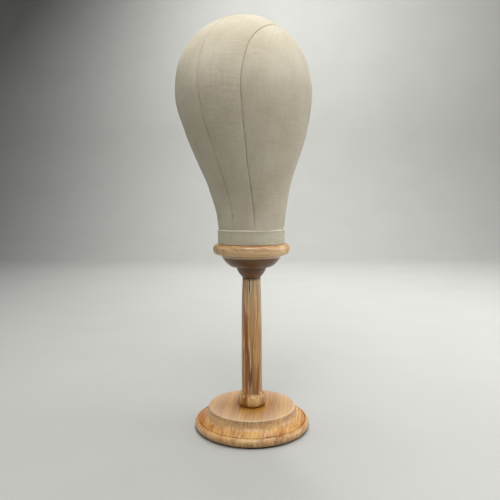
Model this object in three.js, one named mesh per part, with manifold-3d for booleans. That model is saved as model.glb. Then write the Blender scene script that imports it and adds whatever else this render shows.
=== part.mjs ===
// Canvas block head on a turned wooden table stand.
// Millimetres, +Z up. The origin is the centre of the base's underside and the face looks along -Y.
// The stand is a base, a column, a capital and a plate, screwed together. A shouldered peg turns in
// the plate, and the stuffed canvas head drops over the peg, turns with it and lifts off it.

import * as THREE from 'three';
import { mergeVertices } from 'three/addons/utils/BufferGeometryUtils.js';
import Module from 'manifold-3d';

const wasm = await Module();
wasm.setup();

// ---------------------------------------------------------------- driving dimensions

const FIT_GAP = 0.3; // between pieces that touch or fit inside one another
const TURNED_SIDES = 32;
const SLIM_SIDES = 24;
const HARDWARE_SIDES = 12;

// Base
const BASE_RADIUS = 75;
const BASE_BEAD_RADIUS = 5.5;
const BASE_STEP_RADIUS = 57;
const BASE_HEIGHT = 28;
const FELT_THICKNESS = 1.5;
const FELT_RECESS = 0.8;
const FELT_MARGIN = 9; // from the base's rim to the felt's edge

// Column
const COLUMN_HEIGHT = 169; // from the base's top to the capital
const COLUMN_RADIUS = 13.5;
const COLUMN_NECK_RADIUS = 12;
const COLLAR_RADIUS = 18.4;
const COLLAR_HEIGHT = 16;
const TENON_RADIUS = 9.7; // column into base
const TENON_LENGTH = 14;
const TOP_TENON_RADIUS = 7.7; // column into capital
const TOP_TENON_LENGTH = 17;

// Screw that pulls the column down on the base
const COLUMN_SCREW_RADIUS = 3;
const COLUMN_SCREW_GRIP = 48; // its length inside the column
const COLUMN_SCREW_HEAD_RADIUS = 6.5;
const COLUMN_SCREW_HEAD_HEIGHT = 4;
const WASHER_RADIUS = 9.5;
const WASHER_THICKNESS = 1.6;
const COUNTERBORE_RADIUS = 11;
const BASE_WEB = 5; // wood left between the counterbore and the tenon's socket

// Capital
const CAPITAL_HEIGHT = 30;
const CAPITAL_CUP_RADIUS = 20;
const CAPITAL_CUP_HEIGHT = 13.5;
const CAPITAL_STEP_RADIUS = 25.2;
const CAPITAL_TOP_RADIUS = 39;
const CAPITAL_FILLET = 2.6; // height of the narrow band at its top

// Plate
const PLATE_OVERHANG = 7.7; // beyond the neck
const PLATE_THICKNESS = 14;
const PLATE_SCREWS = 4;
const PLATE_SCREW_CIRCLE = 22;
const PLATE_SCREW_RADIUS = 2;
const PLATE_SCREW_HEAD_RADIUS = 4;
const PLATE_SCREW_LENGTH = 23;
const DRIVE_SLOT_WIDTH = 1.1;
const DRIVE_SLOT_DEPTH = 1;

// Peg
const PEG_RADIUS = 12.5;
const PEG_HEIGHT = 60; // above the plate
const PEG_CHAMFER = 3.5;
const JOURNAL_RADIUS = 8;
const JOURNAL_IN_CAPITAL = 8; // how far the journal reaches below the plate

// Head
const NECK_RADIUS = 42.5; // outside of the canvas
const HEAD_HALF_DEPTH = 95.7; // front to back, at the widest level
const HEAD_HALF_WIDTH = 81.4; // side to side, at the widest level
const HEAD_FORWARD = 19; // how far the widest level leans towards the face
const WIDEST_HEIGHT = 193; // of the widest level above the plate
const DOME_HEIGHT = 96; // of the top above the widest level
const DOME_SET_BACK = 12; // of the top behind the widest level's middle
const TEMPLE_TAPER = 0.08; // narrows the face side and fills the back of the head by this share
const LEAN_ROUNDING = 0.2; // share of the lean's height that eases in, and out
const CROWN_TILT = THREE.MathUtils.degToRad(60); // of the point where the seams meet, to the back
const SEAM_RISE = 0.6; // how far the seams go on upright before they turn to that point
const FRONT_SEAM = THREE.MathUtils.degToRad(38);
const BACK_SEAM = THREE.MathUtils.degToRad(144);
const CANVAS_THICKNESS = 1.2;
const STUFFING_GAP = 1; // the stuffing's flat facets stay inside the canvas's
const CROWN_OPENING = 0.98; // the panels stop at this share of the way to the crown
const NECK_ROWS = 10;
const DOME_ROWS = 13;
const SIDES_PER_TURN = 40;

// Neck
const NECK_LIFT = 0.7; // of the canvas's lower edge above the plate
const BAND_HEIGHT = 18.4;
const BAND_THICKNESS = 1.1;
const PLUG_HEIGHT = 31.4; // of the plug's wide part
const PLUG_SHOULDER = 15; // width of the step between the plug's wide part and its spigot
const PLUG_SPIGOT_HEIGHT = 41;
const TUBE_WALL = 1.2;
const TUBE_HEADROOM = 4; // above the peg, inside the tube
const HEM_WIDTH = 17; // canvas turned in under the plug
const TACKS = 8;
const TACK_INSET = 8; // from the plug's side
const TACK_HEAD_RADIUS = 4.2;
const TACK_HEAD_HEIGHT = 1;
const TACK_SHANK_RADIUS = 0.9;
const TACK_LENGTH = 13;

// ---------------------------------------------------------------- levels that follow from them

const baseUnderside = FELT_THICKNESS + FIT_GAP - FELT_RECESS;
const feltCeiling = FELT_THICKNESS + FIT_GAP;
const feltRadius = BASE_RADIUS - FELT_MARGIN;
const socketFloor = BASE_HEIGHT - TENON_LENGTH;
const counterboreCeiling = socketFloor - BASE_WEB;
const columnBottom = BASE_HEIGHT + FIT_GAP;
const columnTop = BASE_HEIGHT + COLUMN_HEIGHT;
const capitalBottom = columnTop + FIT_GAP;
const capitalTop = capitalBottom + CAPITAL_HEIGHT;
const plateBottom = capitalTop + FIT_GAP;
const plateTop = plateBottom + PLATE_THICKNESS;
const plateRadius = NECK_RADIUS + PLATE_OVERHANG;
const journalBore = JOURNAL_RADIUS + FIT_GAP;
const journalFloor = plateBottom - JOURNAL_IN_CAPITAL;
const pegTop = plateTop + PEG_HEIGHT;
const tubeBore = PEG_RADIUS + FIT_GAP;
const tubeRadius = tubeBore + TUBE_WALL;
const tackBottom = plateTop + FIT_GAP;
const hemBottom = tackBottom + TACK_HEAD_HEIGHT + FIT_GAP;
const hemTop = hemBottom + CANVAS_THICKNESS;
const plugBottom = hemTop + FIT_GAP;
const plugRadius = NECK_RADIUS - CANVAS_THICKNESS - FIT_GAP;
const plugShoulder = plugBottom + PLUG_HEIGHT;
const spigotRadius = plugRadius - PLUG_SHOULDER;
const hemInside = plugRadius - HEM_WIDTH;
const tackCircle = plugRadius - TACK_INSET;
const spigotTop = plugShoulder + PLUG_SPIGOT_HEIGHT;
const tubeTop = pegTop + TUBE_HEADROOM;
const canvasBottom = plateTop + NECK_LIFT;
const widestLevel = plateTop + WIDEST_HEIGHT;
const neckTop = canvasBottom + BAND_HEIGHT; // where the round neck begins to open

// ---------------------------------------------------------------- materials

const finish = (color, roughness, metalness = 0) => (
  new THREE.MeshStandardMaterial({ color, roughness, metalness })
);
const FINISHES = {
  wood: () => finish(0xc98a45, 0.35),
  pegWood: () => finish(0xc9a06a, 0.55),
  plugWood: () => finish(0xd2b48a, 0.8),
  felt: () => finish(0x3b3a34, 0.95),
  canvas: () => finish(0xddd0b4, 0.9),
  band: () => finish(0xc6bca2, 0.85),
  stuffing: () => finish(0x9a7b52, 1),
  steel: () => finish(0x9a9a98, 0.4, 1),
  brass: () => finish(0xb08d4a, 0.35, 1),
};

const part = new THREE.Group();

function addPiece(name, geometry, material) {
  const mesh = new THREE.Mesh(geometry, material);
  mesh.name = name;
  part.add(mesh);
  return mesh;
}

// ---------------------------------------------------------------- shape helpers

// Points [radius, height] on an ellipse's arc, angles in degrees from the outward direction.
function arc(centreRadius, centreHeight, radial, vertical, from, to, steps) {
  return Array.from({ length: steps + 1 }, (_, i) => {
    const angle = THREE.MathUtils.degToRad(from + ((to - from) * i) / steps);
    return [centreRadius + radial * Math.cos(angle), centreHeight + vertical * Math.sin(angle)];
  });
}

// Points [radius, height] on a rising slant whose middle bulges out and down by bow.
function bowed(fromRadius, fromHeight, toRadius, toHeight, bow, steps) {
  const across = toRadius - fromRadius;
  const up = toHeight - fromHeight;
  const length = Math.hypot(across, up);
  return Array.from({ length: steps + 1 }, (_, i) => {
    const share = i / steps;
    const bulge = (4 * bow * share * (1 - share)) / length;
    return [fromRadius + across * share + up * bulge, fromHeight + up * share - across * bulge];
  });
}

// A turned solid. Its outline [radius, height] keeps the wood on its left: it runs up the outside,
// and it starts and ends on the axis.
function turned(outline, sides) {
  const points = outline.map(([radius, height]) => new THREE.Vector2(radius, height));
  const geometry = new THREE.LatheGeometry(points, sides);
  geometry.rotateX(Math.PI / 2);
  return geometry;
}

// A turned ring, whose outline closes on itself around the bore.
const turnedRing = (outline, sides) => turned([...outline, outline[0]], sides);

function upright(radius, bottom, top, sides = HARDWARE_SIDES) {
  return turned([[0, bottom], [radius, bottom], [radius, top], [0, top]], sides);
}

function toSolid(geometry) {
  const bare = geometry.clone();
  bare.deleteAttribute('normal');
  bare.deleteAttribute('uv');
  const merged = mergeVertices(bare);
  const corners = merged.index.array;
  const triVerts = [];
  for (let i = 0; i < corners.length; i += 3) {
    const [a, b, c] = corners.slice(i, i + 3);
    if (a !== b && b !== c && c !== a) triVerts.push(a, b, c);
  }
  return new wasm.Manifold(new wasm.Mesh({
    numProp: 3,
    vertProperties: new Float32Array(merged.attributes.position.array),
    triVerts: new Uint32Array(triVerts),
  }));
}

function toGeometry(solid) {
  const mesh = solid.getMesh();
  const geometry = new THREE.BufferGeometry();
  geometry.setAttribute('position', new THREE.Float32BufferAttribute(mesh.vertProperties, 3));
  geometry.setIndex(new THREE.Uint32BufferAttribute(mesh.triVerts, 1));
  return geometry;
}

function cut(geometry, cutters) {
  const rest = cutters.reduce((solid, cutter) => solid.subtract(toSolid(cutter)), toSolid(geometry));
  return toGeometry(rest);
}

// Places on a circle about the axis, a half step round from +X.
function aroundAxis(count, radius) {
  return Array.from({ length: count }, (_, i) => {
    const angle = (2 * Math.PI * (i + 0.5)) / count;
    return new THREE.Vector3(radius * Math.cos(angle), radius * Math.sin(angle), 0);
  });
}

const moved = (geometry, place) => geometry.clone().translate(place.x, place.y, place.z);

// ---------------------------------------------------------------- base, felt and column screw

function makeBase() {
  const beadCentre = BASE_RADIUS - BASE_BEAD_RADIUS;
  const beadLevel = baseUnderside + BASE_BEAD_RADIUS;
  const beadTop = beadLevel + BASE_BEAD_RADIUS;
  const coveRadius = BASE_STEP_RADIUS + 5.5;
  const coveBottom = beadTop + 4;
  const coveTop = BASE_HEIGHT - 1.5;
  const hole = COLUMN_SCREW_RADIUS + FIT_GAP;
  const outline = [
    [hole, counterboreCeiling],
    [COUNTERBORE_RADIUS, counterboreCeiling],
    [COUNTERBORE_RADIUS, feltCeiling],
    [feltRadius + FIT_GAP, feltCeiling],
    [feltRadius + FIT_GAP, baseUnderside],
    ...arc(beadCentre, beadLevel, BASE_BEAD_RADIUS, BASE_BEAD_RADIUS, -90, 80, 8),
    [beadCentre + 0.6, beadTop - 1.6], // quirk cut between bead and slope
    [beadCentre, beadTop + 0.3],
    ...arc(coveRadius, coveTop, 5.5, coveTop - coveBottom, 270, 180, 5),
    [BASE_STEP_RADIUS, BASE_HEIGHT - 0.5],
    [BASE_STEP_RADIUS - 0.8, BASE_HEIGHT],
    [TENON_RADIUS + FIT_GAP, BASE_HEIGHT],
    [TENON_RADIUS + FIT_GAP, socketFloor],
    [hole, socketFloor],
  ];
  return turnedRing(outline, TURNED_SIDES);
}

function makeColumnScrew() {
  const washerBottom = counterboreCeiling - FIT_GAP - WASHER_THICKNESS;
  const headTop = washerBottom - FIT_GAP;
  const headBottom = headTop - COLUMN_SCREW_HEAD_HEIGHT;
  const tip = socketFloor + FIT_GAP + COLUMN_SCREW_GRIP;
  const outline = [
    [0, headBottom],
    [COLUMN_SCREW_HEAD_RADIUS - 1.5, headBottom],
    [COLUMN_SCREW_HEAD_RADIUS, headBottom + 1.5],
    [COLUMN_SCREW_HEAD_RADIUS, headTop],
    [COLUMN_SCREW_RADIUS, headTop],
    [COLUMN_SCREW_RADIUS, tip - 2 * COLUMN_SCREW_RADIUS],
    [0, tip],
  ];
  const slot = new THREE.BoxGeometry(4 * COLUMN_SCREW_HEAD_RADIUS, 1.5 * DRIVE_SLOT_WIDTH, 3);
  slot.translate(0, 0, headBottom);
  addPiece('column_screw', cut(turned(outline, HARDWARE_SIDES), [slot]), FINISHES.steel());
  addPiece('column_washer', turnedRing([
    [COLUMN_SCREW_RADIUS + FIT_GAP, washerBottom],
    [WASHER_RADIUS, washerBottom],
    [WASHER_RADIUS, washerBottom + WASHER_THICKNESS],
    [COLUMN_SCREW_RADIUS + FIT_GAP, washerBottom + WASHER_THICKNESS],
  ], 2 * HARDWARE_SIDES), FINISHES.steel());
}

// ---------------------------------------------------------------- column

function makeColumn() {
  const screwHole = COLUMN_SCREW_RADIUS + FIT_GAP;
  const holeRoof = socketFloor + COLUMN_SCREW_GRIP + 3 * FIT_GAP;
  const collarTop = BASE_HEIGHT + COLLAR_HEIGHT;
  const collarBulge = columnBottom + 0.4 * COLLAR_HEIGHT;
  const coveHeight = COLLAR_HEIGHT / 3;
  const shaftBottom = collarTop + coveHeight;
  const shaft = columnTop - shaftBottom;
  const taper = COLUMN_RADIUS - COLUMN_NECK_RADIUS;
  const entasis = [0.35, 0.6, 0.8, 0.92, 1].map((share) => [
    COLUMN_RADIUS - taper * share ** 4, shaftBottom + shaft * share,
  ]);
  const outline = [
    [0, holeRoof],
    [screwHole, holeRoof],
    [screwHole, socketFloor + FIT_GAP],
    [TENON_RADIUS, socketFloor + FIT_GAP],
    [TENON_RADIUS, columnBottom],
    ...arc(COLLAR_RADIUS - 4, collarBulge, 4, collarBulge - columnBottom, -75, 0, 3),
    ...arc(COLLAR_RADIUS - 4, collarBulge, 4, collarTop - collarBulge, 22, 66, 2),
    ...arc(COLUMN_RADIUS + 3, shaftBottom, 3, coveHeight, 270, 180, 3),
    ...entasis,
    [TOP_TENON_RADIUS, columnTop],
    [TOP_TENON_RADIUS, columnTop + TOP_TENON_LENGTH],
    [0, columnTop + TOP_TENON_LENGTH],
  ];
  return turned(outline, SLIM_SIDES);
}

// ---------------------------------------------------------------- capital, plate and their screws

function makeCapital() {
  const socketRoof = columnTop + TOP_TENON_LENGTH + FIT_GAP;
  const stepLevel = capitalBottom + CAPITAL_CUP_HEIGHT + 0.6;
  const filletBottom = capitalTop - CAPITAL_FILLET;
  const socket = TOP_TENON_RADIUS + FIT_GAP;
  const outline = [
    [0, socketRoof],
    [socket, socketRoof],
    [socket, capitalBottom],
    [COLUMN_NECK_RADIUS, capitalBottom],
    ...bowed(
      COLUMN_NECK_RADIUS + 0.4, capitalBottom + 1, CAPITAL_CUP_RADIUS, stepLevel - 0.6, 1, 4,
    ),
    [CAPITAL_STEP_RADIUS, stepLevel],
    ...bowed(
      CAPITAL_STEP_RADIUS + 1.3, stepLevel + 0.4, CAPITAL_TOP_RADIUS - 0.6, filletBottom, 1.5, 5,
    ),
    [CAPITAL_TOP_RADIUS, filletBottom + 0.3],
    [CAPITAL_TOP_RADIUS, capitalTop],
    [journalBore, capitalTop],
    [journalBore, journalFloor],
    [0, journalFloor],
  ];
  const pilot = upright(
    PLATE_SCREW_RADIUS + FIT_GAP, plateTop - PLATE_SCREW_LENGTH - 2 * FIT_GAP, plateTop,
  );
  const pilots = aroundAxis(PLATE_SCREWS, PLATE_SCREW_CIRCLE).map((place) => moved(pilot, place));
  return cut(turned(outline, TURNED_SIDES), pilots);
}

// A countersunk screw standing on its tip. clearance grows it into the hole that takes it.
function plateScrew(clearance) {
  const top = plateTop - FIT_GAP;
  const headDepth = PLATE_SCREW_HEAD_RADIUS - PLATE_SCREW_RADIUS;
  const tip = plateTop - PLATE_SCREW_LENGTH;
  return turned([
    [0, tip - clearance],
    [PLATE_SCREW_RADIUS + clearance, tip + 2 * PLATE_SCREW_RADIUS],
    [PLATE_SCREW_RADIUS + clearance, top - headDepth],
    [PLATE_SCREW_HEAD_RADIUS + clearance, top],
    ...(clearance > 0 ? [[PLATE_SCREW_HEAD_RADIUS + clearance, plateTop + 1]] : []),
    [0, top + (clearance > 0 ? FIT_GAP + 1 : 0)],
  ], HARDWARE_SIDES);
}

function makePlate() {
  const edge = PLATE_THICKNESS / 2;
  const outline = [
    [journalBore, plateBottom],
    ...arc(plateRadius - 5, plateBottom + edge, 5, edge, -90, 90, 10),
    [journalBore, plateTop],
  ];
  const hole = plateScrew(FIT_GAP);
  const holes = aroundAxis(PLATE_SCREWS, PLATE_SCREW_CIRCLE).map((place) => moved(hole, place));
  return cut(turnedRing(outline, TURNED_SIDES), holes);
}

function makePlateScrews() {
  const slot = new THREE.BoxGeometry(
    4 * PLATE_SCREW_HEAD_RADIUS, DRIVE_SLOT_WIDTH, 2 * DRIVE_SLOT_DEPTH,
  );
  slot.translate(0, 0, plateTop - FIT_GAP);
  const screw = cut(plateScrew(0), [slot]);
  aroundAxis(PLATE_SCREWS, PLATE_SCREW_CIRCLE).forEach((place, i) => {
    addPiece(`plate_screw_${i + 1}`, moved(screw, place), FINISHES.brass());
  });
}

// ---------------------------------------------------------------- peg

function makePeg() {
  return turned([
    [0, journalFloor + FIT_GAP],
    [JOURNAL_RADIUS, journalFloor + FIT_GAP],
    [JOURNAL_RADIUS, plateTop + FIT_GAP],
    [PEG_RADIUS, plateTop + FIT_GAP],
    [PEG_RADIUS, pegTop - PEG_CHAMFER],
    [PEG_RADIUS - PEG_CHAMFER, pegTop],
    [0, pegTop],
  ], SLIM_SIDES);
}

// ---------------------------------------------------------------- the head's form

// 0 to 1 at a steady rate, eased in and out over LEAN_ROUNDING of the way.
function easedRamp(x) {
  const ease = LEAN_ROUNDING;
  const flat = 2 * ease * (1 - ease);
  if (x <= 0) return 0;
  if (x < ease) return x ** 2 / flat;
  if (x > 1 - ease) return 1 - (1 - Math.min(x, 1)) ** 2 / flat;
  return (x - ease / 2) / (1 - ease);
}

// The head's cross-section at a height is an ellipse that grows out of the round neck and leans
// towards the face. inset shrinks it, for the inside of the canvas and for the stuffing.
function neckPoint(theta, height, inset) {
  const rise = (height - neckTop) / (widestLevel - neckTop);
  const swell = THREE.MathUtils.smoothstep(rise, 0, 1);
  const depth = NECK_RADIUS + (HEAD_HALF_DEPTH - NECK_RADIUS) * swell - inset;
  const width = NECK_RADIUS + (HEAD_HALF_WIDTH - NECK_RADIUS) * swell - inset;
  const forward = HEAD_FORWARD * easedRamp(rise);
  const taper = 1 - TEMPLE_TAPER * swell * Math.cos(theta);
  return new THREE.Vector3(
    taper * width * Math.sin(theta), -forward - depth * Math.cos(theta), height,
  );
}

// The dome above the widest level is half an ellipsoid that leans back. direction is a point of
// the unit sphere: x to the left ear, y to the face, z up.
function domePoint(direction, inset) {
  const taper = 1 - TEMPLE_TAPER * direction.y;
  const forward = HEAD_FORWARD - DOME_SET_BACK * direction.z ** 2;
  return new THREE.Vector3(
    taper * (HEAD_HALF_WIDTH - inset) * direction.x,
    -forward - (HEAD_HALF_DEPTH - inset) * direction.y,
    widestLevel + (DOME_HEIGHT - inset) * direction.z,
  );
}

// The way from the widest level to the crown: a curve that leaves the level at theta upright, at
// a steady pace over the dome.
function crownPoint(theta, share, inset) {
  const start = new THREE.Vector3(Math.sin(theta), Math.cos(theta), 0);
  const bend = start.clone().setZ(SEAM_RISE);
  const crown = new THREE.Vector3(0, -Math.sin(CROWN_TILT), Math.cos(CROWN_TILT));
  const bow = new THREE.QuadraticBezierCurve3(start, bend, crown);
  const way = new THREE.CatmullRomCurve3(bow.getPoints(DOME_ROWS).map((point) => point.normalize()));
  return domePoint(way.getPointAt(share).normalize(), inset);
}

// Rows of a panel from the neck up: row 0 is the lower edge, the last row is next to the crown.
function panelPoint(theta, row, inset) {
  if (row <= NECK_ROWS) {
    const height = canvasBottom + ((widestLevel - canvasBottom) * row) / NECK_ROWS;
    return neckPoint(theta, height, inset);
  }
  return crownPoint(theta, (CROWN_OPENING * (row - NECK_ROWS)) / DOME_ROWS, inset);
}

// A closed sheet between two grids of the same size, whose first grid faces outwards.
function sheetGeometry(outer, inner) {
  const rows = outer.length;
  const columns = outer[0].length;
  const positions = [...outer.flat(), ...inner.flat()].flatMap((point) => point.toArray());
  const index = (side, row, column) => side * rows * columns + row * columns + column;
  const triangles = [];
  const quad = (a, b, c, d) => triangles.push(a, b, c, a, c, d);
  for (let row = 0; row + 1 < rows; row += 1) {
    for (let column = 0; column + 1 < columns; column += 1) {
      const around = [[row, column], [row, column + 1], [row + 1, column + 1], [row + 1, column]];
      quad(...around.map(([i, j]) => index(0, i, j)));
      quad(...around.toReversed().map(([i, j]) => index(1, i, j)));
    }
  }
  const rim = [];
  for (let column = 0; column + 1 < columns; column += 1) rim.push([0, column]);
  for (let row = 0; row + 1 < rows; row += 1) rim.push([row, columns - 1]);
  for (let column = columns - 1; column > 0; column -= 1) rim.push([rows - 1, column]);
  for (let row = rows - 1; row > 0; row -= 1) rim.push([row, 0]);
  rim.forEach(([row, column], i) => {
    const [nextRow, nextColumn] = rim[(i + 1) % rim.length];
    quad(
      index(0, nextRow, nextColumn), index(0, row, column),
      index(1, row, column), index(1, nextRow, nextColumn),
    );
  });
  const geometry = new THREE.BufferGeometry();
  geometry.setAttribute('position', new THREE.Float32BufferAttribute(positions, 3));
  geometry.setIndex(triangles);
  return geometry;
}

// A canvas panel between two seams. Each row gives up half the seam's gap at both ends.
function panelGeometry(fromSeam, toSeam) {
  const columns = Math.max(2, Math.round(((toSeam - fromSeam) / (2 * Math.PI)) * SIDES_PER_TURN));
  const grid = (inset) => Array.from({ length: NECK_ROWS + DOME_ROWS + 1 }, (_, row) => {
    const middle = (fromSeam + toSeam) / 2;
    const half = panelPoint(fromSeam, row, 0).distanceTo(panelPoint(middle, row, 0));
    const margin = FIT_GAP / 2 / (2 * half);
    return Array.from({ length: columns + 1 }, (__, column) => {
      const share = margin + ((1 - 2 * margin) * column) / columns;
      return panelPoint(THREE.MathUtils.lerp(fromSeam, toSeam, share), row, inset);
    });
  });
  return sheetGeometry(grid(0), grid(CANVAS_THICKNESS));
}

function makePanels() {
  const panels = [
    ['front_panel_left', 0, FRONT_SEAM],
    ['side_panel_left', FRONT_SEAM, BACK_SEAM],
    ['back_panel_left', BACK_SEAM, Math.PI],
    ['back_panel_right', Math.PI, 2 * Math.PI - BACK_SEAM],
    ['side_panel_right', 2 * Math.PI - BACK_SEAM, 2 * Math.PI - FRONT_SEAM],
    ['front_panel_right', 2 * Math.PI - FRONT_SEAM, 2 * Math.PI],
  ];
  for (const [name, from, to] of panels) {
    addPiece(name, panelGeometry(from, to), FINISHES.canvas());
  }
}

// The stuffing fills the canvas above the plug's shoulder, and the plug's spigot stands in it.
function makeStuffing() {
  const inset = CANVAS_THICKNESS + STUFFING_GAP;
  const bottom = plugShoulder + FIT_GAP;
  const rings = [];
  const ring = (pointAt) => rings.push(
    Array.from({ length: SIDES_PER_TURN }, (_, i) => pointAt((2 * Math.PI * i) / SIDES_PER_TURN)),
  );
  for (let row = 0; row <= NECK_ROWS; row += 1) {
    const height = bottom + ((widestLevel - bottom) * row) / NECK_ROWS;
    ring((theta) => neckPoint(theta, height, inset));
  }
  for (let row = 1; row < DOME_ROWS - 3; row += 1) {
    const rise = (Math.PI / 2) * (row / (DOME_ROWS - 3));
    ring((theta) => {
      const level = Math.cos(rise);
      const direction = new THREE.Vector3(
        level * Math.sin(theta), level * Math.cos(theta), Math.sin(rise),
      );
      return domePoint(direction, inset);
    });
  }
  const points = [
    ...rings.flat(),
    neckPoint(0, bottom, inset).setX(0).setY(0),
    domePoint(new THREE.Vector3(0, 0, 1), inset),
  ];
  const [bottomCentre, topCentre] = [points.length - 2, points.length - 1];
  const triangles = [];
  for (let side = 0; side < SIDES_PER_TURN; side += 1) {
    const next = (side + 1) % SIDES_PER_TURN;
    const last = (rings.length - 1) * SIDES_PER_TURN;
    triangles.push(bottomCentre, next, side, topCentre, last + side, last + next);
    for (let row = 0; row + 1 < rings.length; row += 1) {
      const low = row * SIDES_PER_TURN;
      const high = low + SIDES_PER_TURN;
      triangles.push(low + side, low + next, high + next, low + side, high + next, high + side);
    }
  }
  const geometry = new THREE.BufferGeometry();
  const positions = points.flatMap((point) => point.toArray());
  geometry.setAttribute('position', new THREE.Float32BufferAttribute(positions, 3));
  geometry.setIndex(triangles);
  const spigot = upright(
    spigotRadius + FIT_GAP, plugShoulder, spigotTop + FIT_GAP, SIDES_PER_TURN,
  );
  return cut(geometry, [spigot]);
}

// ---------------------------------------------------------------- neck

// A tack standing head down. Its shank goes up through the hem into the plug.
function tackGeometry() {
  const top = tackBottom + TACK_HEAD_HEIGHT;
  return turned([
    [0, tackBottom],
    [TACK_HEAD_RADIUS * 0.7, tackBottom + TACK_HEAD_HEIGHT * 0.3],
    [TACK_HEAD_RADIUS, top],
    [TACK_SHANK_RADIUS, top],
    [TACK_SHANK_RADIUS, tackBottom + TACK_LENGTH - 3],
    [0, tackBottom + TACK_LENGTH],
  ], HARDWARE_SIDES);
}

function makeNeck() {
  const places = aroundAxis(TACKS, tackCircle);
  const hole = upright(
    TACK_SHANK_RADIUS + FIT_GAP, tackBottom, tackBottom + TACK_LENGTH + FIT_GAP, HARDWARE_SIDES,
  );
  const holes = places.map((place) => moved(hole, place));
  const hem = turnedRing([
    [hemInside, hemBottom],
    [plugRadius, hemBottom],
    [plugRadius, hemTop],
    [hemInside, hemTop],
  ], TURNED_SIDES);
  const plug = turned([
    [0, tubeTop + FIT_GAP],
    [tubeRadius + FIT_GAP, tubeTop + FIT_GAP],
    [tubeRadius + FIT_GAP, plugBottom],
    [plugRadius, plugBottom],
    [plugRadius, plugShoulder],
    [spigotRadius, plugShoulder],
    [spigotRadius, spigotTop],
    [0, spigotTop],
  ], SIDES_PER_TURN);
  addPiece('neck_plug', cut(plug, holes), FINISHES.plugWood());
  addPiece('neck_hem', cut(hem, holes), FINISHES.canvas());
  addPiece('socket_tube', turnedRing([
    [tubeBore, hemBottom],
    [tubeRadius, hemBottom],
    [tubeRadius, tubeTop],
    [tubeBore, tubeTop],
  ], SLIM_SIDES), FINISHES.steel());
  const bandInside = NECK_RADIUS + FIT_GAP;
  const bandBottom = canvasBottom - FIT_GAP;
  addPiece('neck_band', turnedRing([
    [bandInside, bandBottom],
    [bandInside + BAND_THICKNESS, bandBottom],
    [bandInside + BAND_THICKNESS, bandBottom + BAND_HEIGHT],
    [bandInside, bandBottom + BAND_HEIGHT],
  ], SIDES_PER_TURN), FINISHES.band());
  const tack = tackGeometry();
  places.forEach((place, i) => {
    addPiece(`neck_tack_${i + 1}`, moved(tack, place), FINISHES.steel());
  });
}

// ---------------------------------------------------------------- assembly

addPiece('base_felt', upright(feltRadius, 0, FELT_THICKNESS, TURNED_SIDES), FINISHES.felt());
addPiece('base', makeBase(), FINISHES.wood());
makeColumnScrew();
addPiece('column', makeColumn(), FINISHES.wood());
addPiece('capital', makeCapital(), FINISHES.wood());
addPiece('head_plate', makePlate(), FINISHES.wood());
makePlateScrews();
addPiece('swivel_peg', makePeg(), FINISHES.pegWood());
makeNeck();
addPiece('stuffing', makeStuffing(), FINISHES.stuffing());
makePanels();

export default part;
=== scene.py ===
"""Canvas block head on a turned wooden stand: the finished surfaces, materials and stage."""
import math
from functools import partial

import bpy
import numpy as np
from bpy.props import FloatProperty, FloatVectorProperty, IntProperty, PointerProperty
from mathutils import Matrix, Vector


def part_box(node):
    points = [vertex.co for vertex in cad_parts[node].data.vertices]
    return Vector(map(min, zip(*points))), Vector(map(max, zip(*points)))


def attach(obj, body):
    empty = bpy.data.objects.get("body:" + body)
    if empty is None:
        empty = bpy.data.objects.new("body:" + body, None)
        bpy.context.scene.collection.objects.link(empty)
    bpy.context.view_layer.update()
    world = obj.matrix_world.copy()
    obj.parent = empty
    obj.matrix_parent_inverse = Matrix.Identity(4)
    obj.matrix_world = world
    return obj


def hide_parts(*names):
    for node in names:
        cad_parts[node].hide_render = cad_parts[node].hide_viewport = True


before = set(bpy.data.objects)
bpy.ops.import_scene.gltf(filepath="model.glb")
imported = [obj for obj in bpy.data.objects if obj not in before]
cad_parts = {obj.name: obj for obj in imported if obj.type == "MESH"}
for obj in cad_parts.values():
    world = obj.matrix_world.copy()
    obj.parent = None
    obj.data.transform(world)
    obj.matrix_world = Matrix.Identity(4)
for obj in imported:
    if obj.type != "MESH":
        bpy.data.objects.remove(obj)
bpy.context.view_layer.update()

bl_info = {
    "name": "Canvas block head and turned stand",
    "version": (1, 0, 0),
    "blender": (4, 5, 0),
    "location": "3D View > Sidebar > Block head",
    "description": "Makes a stuffed canvas block head on a turned and varnished wooden stand",
    "category": "Add Mesh",
}

MM = 0.001


# ------------------------------------------------------------------ places taken from the frame

def low(node):
    """Height of a node's underside."""
    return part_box(node)[0][2]


def high(node):
    """Height of a node's top."""
    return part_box(node)[1][2]


def reach(node):
    """Radius of a turned node about the stand's axis."""
    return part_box(node)[1][1]


def measures(node):
    """Height of a node's underside and top, and its radius, in millimetres."""
    return low(node) / MM, high(node) / MM, reach(node) / MM


GAP = 0.3 * MM  # between pieces that touch, as in the frame
PLATE_TOP = high("head_plate")
BAND_TOP = high("neck_band")
CANVAS_BOTTOM = low("side_panel_left")

# Pieces that fit into one another share these
COLUMN_TENON = 9.7 * MM
CAPITAL_TENON = 7.7 * MM
SCREW_HOLE = 3.3 * MM
JOURNAL_RADIUS = 8 * MM
SPIGOT_RADIUS = 26 * MM
HEM_WIDTH = 17 * MM
CLOTH_THICKNESS = 0.8 * MM
PLATE_SCREWS = [f"plate_screw_{number}" for number in range(1, 5)]
NECK_TACKS = [f"neck_tack_{number}" for number in range(1, 9)]

# The head's form, which the stuffing and the six panels share
NECK_RADIUS = 42.5 * MM
HALF_DEPTH = 95.7 * MM
HALF_WIDTH = 81.4 * MM
FORWARD = 19 * MM
DOME_SET_BACK = 12 * MM
DOME_HEIGHT = 96 * MM
TEMPLE_TAPER = 0.08
WIDEST_LEVEL = PLATE_TOP + 193 * MM
LEAN_EASE = 0.2
CROWN_TILT = math.radians(60)
SEAM_RISE = 0.6
FRONT_SEAM = math.radians(38)
BACK_SEAM = math.radians(144)

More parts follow.
